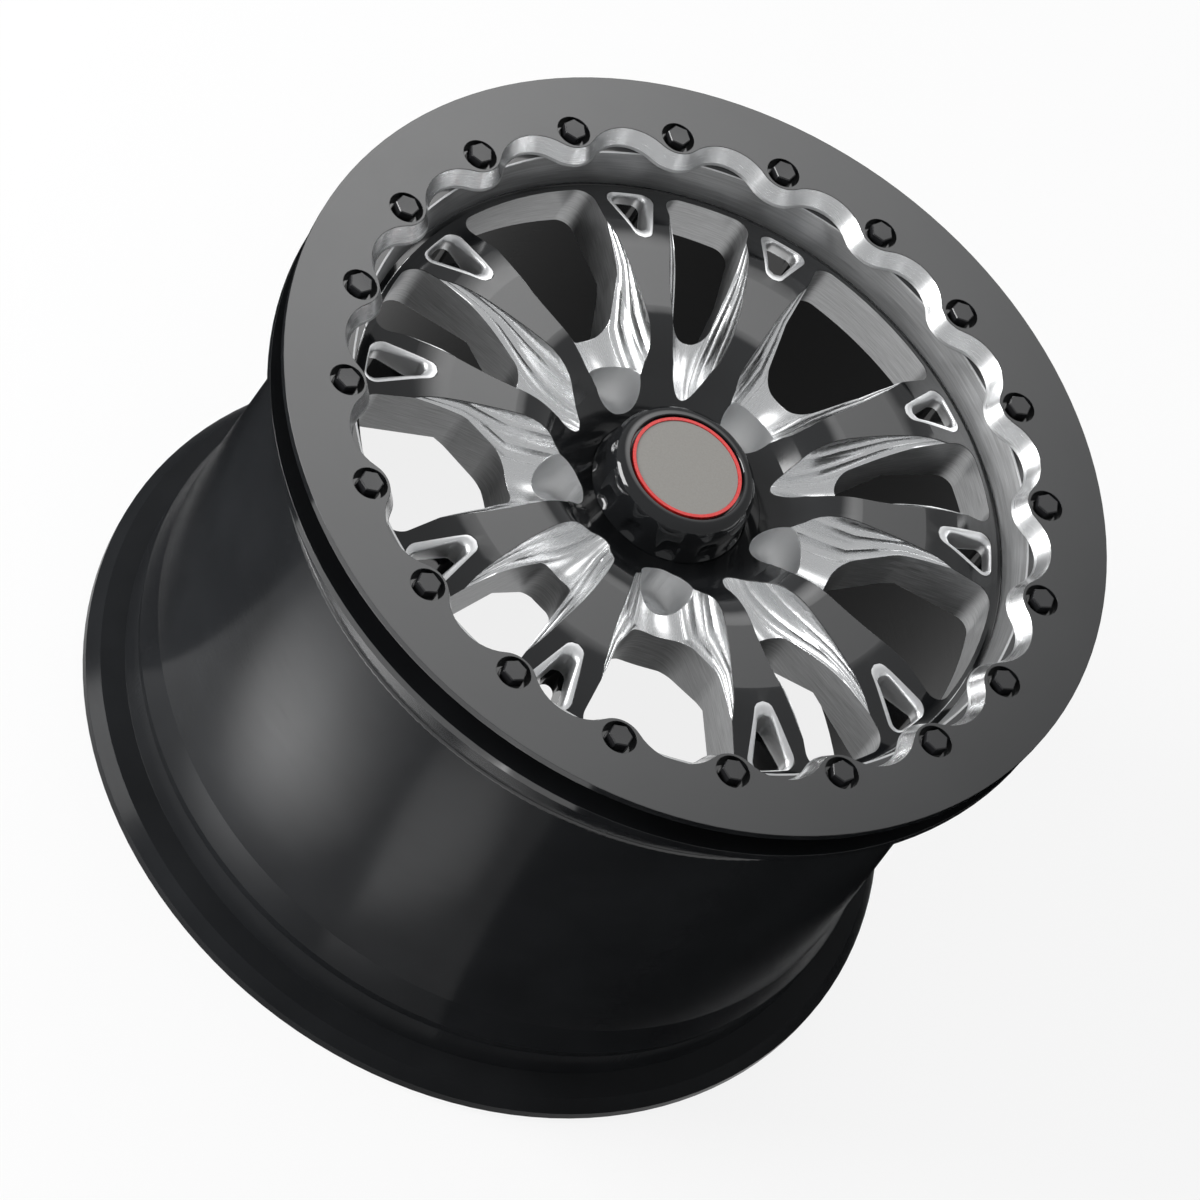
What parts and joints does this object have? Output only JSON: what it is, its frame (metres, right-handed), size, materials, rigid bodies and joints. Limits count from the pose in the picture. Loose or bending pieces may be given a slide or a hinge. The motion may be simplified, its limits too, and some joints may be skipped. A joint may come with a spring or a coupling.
{
  "type": "beadlock wheel",
  "caption": "Deep 15 inch wheel with a bolted bead-clamping ring, an open spoked machined centre, a welded rim and a push-in centre cap.",
  "frame": {"origin": "on the floor plane, under the middle of the wheel, which stands on its inboard flange", "axes": "+Z along the wheel's axis towards the street side; the middle of one wide window faces -Y"},
  "size_m": [0.4157, 0.4158, 0.271],
  "materials": {
    "gloss_black": "gloss black anodised aluminium",
    "dark_polish": "dark tinted polished aluminium",
    "bolt_black": "black oxide coated steel",
    "cap_black": "satin black aluminium",
    "badge_grey": "plain satin grey disc",
    "accent_red": "red anodised aluminium"
  },
  "bodies": {
    "root": {"barrel": "gloss_black", "inner_bead_ring": "dark_polish", "clamp_ring": "gloss_black", "clamp_bolts": "bolt_black", "wheel_centre": "gloss_black", "centre_cap": "cap_black", "cap_badge": "badge_grey", "cap_ring": "accent_red", "valve_stem": "bolt_black", "valve_nut": "bolt_black", "valve_cap": "cap_black"}
  },
  "joints": []
}
